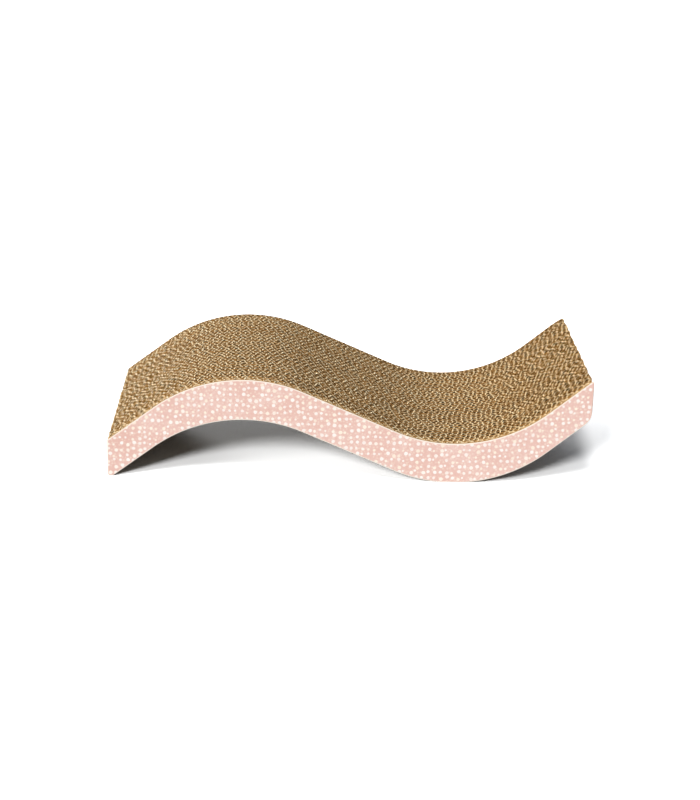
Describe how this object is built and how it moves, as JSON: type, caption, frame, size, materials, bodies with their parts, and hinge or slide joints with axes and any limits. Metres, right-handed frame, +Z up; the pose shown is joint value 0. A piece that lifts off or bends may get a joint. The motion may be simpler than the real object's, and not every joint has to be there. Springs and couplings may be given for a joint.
{
  "type": "cat scratcher",
  "caption": "Wave-shaped cat scratcher and lounger of corrugated board plies glued face to face between two printed covers, with a raised tail end.",
  "frame": {"origin": "on the floor, midway along the wave and midway across the plies", "axes": "+X along the wave from the foot to the raised tail, +Y across the plies towards the rear cover, +Z up"},
  "size_m": [0.44, 0.208, 0.0999],
  "materials": {
    "corrugated_board": "unbleached kraft board, matt, flutes cut open",
    "printed_board": "pale print on white-faced board, matt"
  },
  "bodies": {
    "root": {"front_cover": "printed_board", "ply_01": "corrugated_board", "ply_02": "corrugated_board", "ply_03": "corrugated_board", "ply_04": "corrugated_board", "ply_05": "corrugated_board", "ply_06": "corrugated_board", "ply_07": "corrugated_board", "ply_08": "corrugated_board", "ply_09": "corrugated_board", "ply_10": "corrugated_board", "ply_11": "corrugated_board", "ply_12": "corrugated_board", "ply_13": "corrugated_board", "ply_14": "corrugated_board", "ply_15": "corrugated_board", "ply_16": "corrugated_board", "ply_17": "corrugated_board", "ply_18": "corrugated_board", "ply_19": "corrugated_board", "ply_20": "corrugated_board", "ply_21": "corrugated_board", "ply_22": "corrugated_board", "ply_23": "corrugated_board", "ply_24": "corrugated_board", "ply_25": "corrugated_board", "ply_26": "corrugated_board", "ply_27": "corrugated_board", "ply_28": "corrugated_board", "ply_29": "corrugated_board", "ply_30": "corrugated_board", "ply_31": "corrugated_board", "ply_32": "corrugated_board", "ply_33": "corrugated_board", "ply_34": "corrugated_board", "ply_35": "corrugated_board", "ply_36": "corrugated_board", "ply_37": "corrugated_board", "ply_38": "corrugated_board", "ply_39": "corrugated_board", "ply_40": "corrugated_board", "ply_41": "corrugated_board", "rear_cover": "printed_board"}
  },
  "joints": []
}
